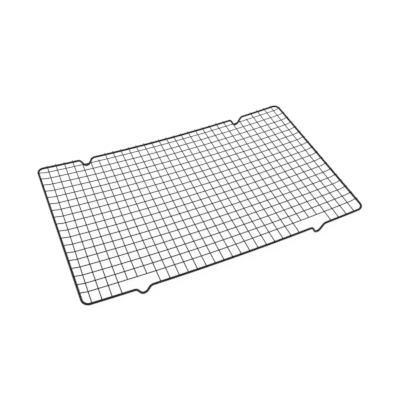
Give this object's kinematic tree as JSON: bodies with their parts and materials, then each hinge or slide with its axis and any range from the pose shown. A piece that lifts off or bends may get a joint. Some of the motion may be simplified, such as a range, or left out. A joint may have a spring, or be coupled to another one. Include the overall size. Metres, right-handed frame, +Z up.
{
  "type": "cooling rack",
  "caption": "Rectangular wire rack for cooling baked goods: a bowed grid of thin wires welded to a bent frame wire whose long sides dip down into feet, with a black non-stick coating.",
  "frame": {"origin": "on the surface the feet stand on, under the middle of the rack", "axes": "+X along the rack's length, +Y across it towards the back, +Z up"},
  "size_m": [0.4101, 0.254, 0.0223],
  "materials": {
    "nonstick_coating": "black non-stick coating on steel wire, satin"
  },
  "bodies": {
    "root": {"frame_wire": "nonstick_coating", "frame_weld": "nonstick_coating", "crosswise_wire_01": "nonstick_coating", "crosswise_wire_02": "nonstick_coating", "crosswise_wire_03": "nonstick_coating", "crosswise_wire_04": "nonstick_coating", "crosswise_wire_05": "nonstick_coating", "crosswise_wire_06": "nonstick_coating", "crosswise_wire_07": "nonstick_coating", "crosswise_wire_08": "nonstick_coating", "crosswise_wire_09": "nonstick_coating", "crosswise_wire_10": "nonstick_coating", "crosswise_wire_11": "nonstick_coating", "crosswise_wire_12": "nonstick_coating", "crosswise_wire_13": "nonstick_coating", "crosswise_wire_14": "nonstick_coating", "crosswise_wire_15": "nonstick_coating", "crosswise_wire_16": "nonstick_coating", "crosswise_wire_17": "nonstick_coating", "crosswise_wire_18": "nonstick_coating", "crosswise_wire_19": "nonstick_coating", "crosswise_wire_20": "nonstick_coating", "crosswise_wire_21": "nonstick_coating", "crosswise_wire_22": "nonstick_coating", "crosswise_wire_23": "nonstick_coating", "crosswise_wire_24": "nonstick_coating", "crosswise_wire_25": "nonstick_coating", "crosswise_wire_26": "nonstick_coating", "crosswise_wire_27": "nonstick_coating", "crosswise_wire_28": "nonstick_coating", "crosswise_wire_29": "nonstick_coating", "crosswise_wire_30": "nonstick_coating", "crosswise_wire_31": "nonstick_coating", "lengthwise_wire_01": "nonstick_coating", "lengthwise_wire_02": "nonstick_coating", "lengthwise_wire_03": "nonstick_coating", "lengthwise_wire_04": "nonstick_coating", "lengthwise_wire_05": "nonstick_coating", "lengthwise_wire_06": "nonstick_coating", "lengthwise_wire_07": "nonstick_coating", "lengthwise_wire_08": "nonstick_coating", "lengthwise_wire_09": "nonstick_coating", "lengthwise_wire_10": "nonstick_coating", "lengthwise_wire_11": "nonstick_coating", "lengthwise_wire_12": "nonstick_coating", "lengthwise_wire_13": "nonstick_coating", "lengthwise_wire_14": "nonstick_coating", "lengthwise_wire_15": "nonstick_coating", "lengthwise_wire_16": "nonstick_coating", "lengthwise_wire_17": "nonstick_coating", "lengthwise_wire_18": "nonstick_coating"}
  },
  "joints": []
}
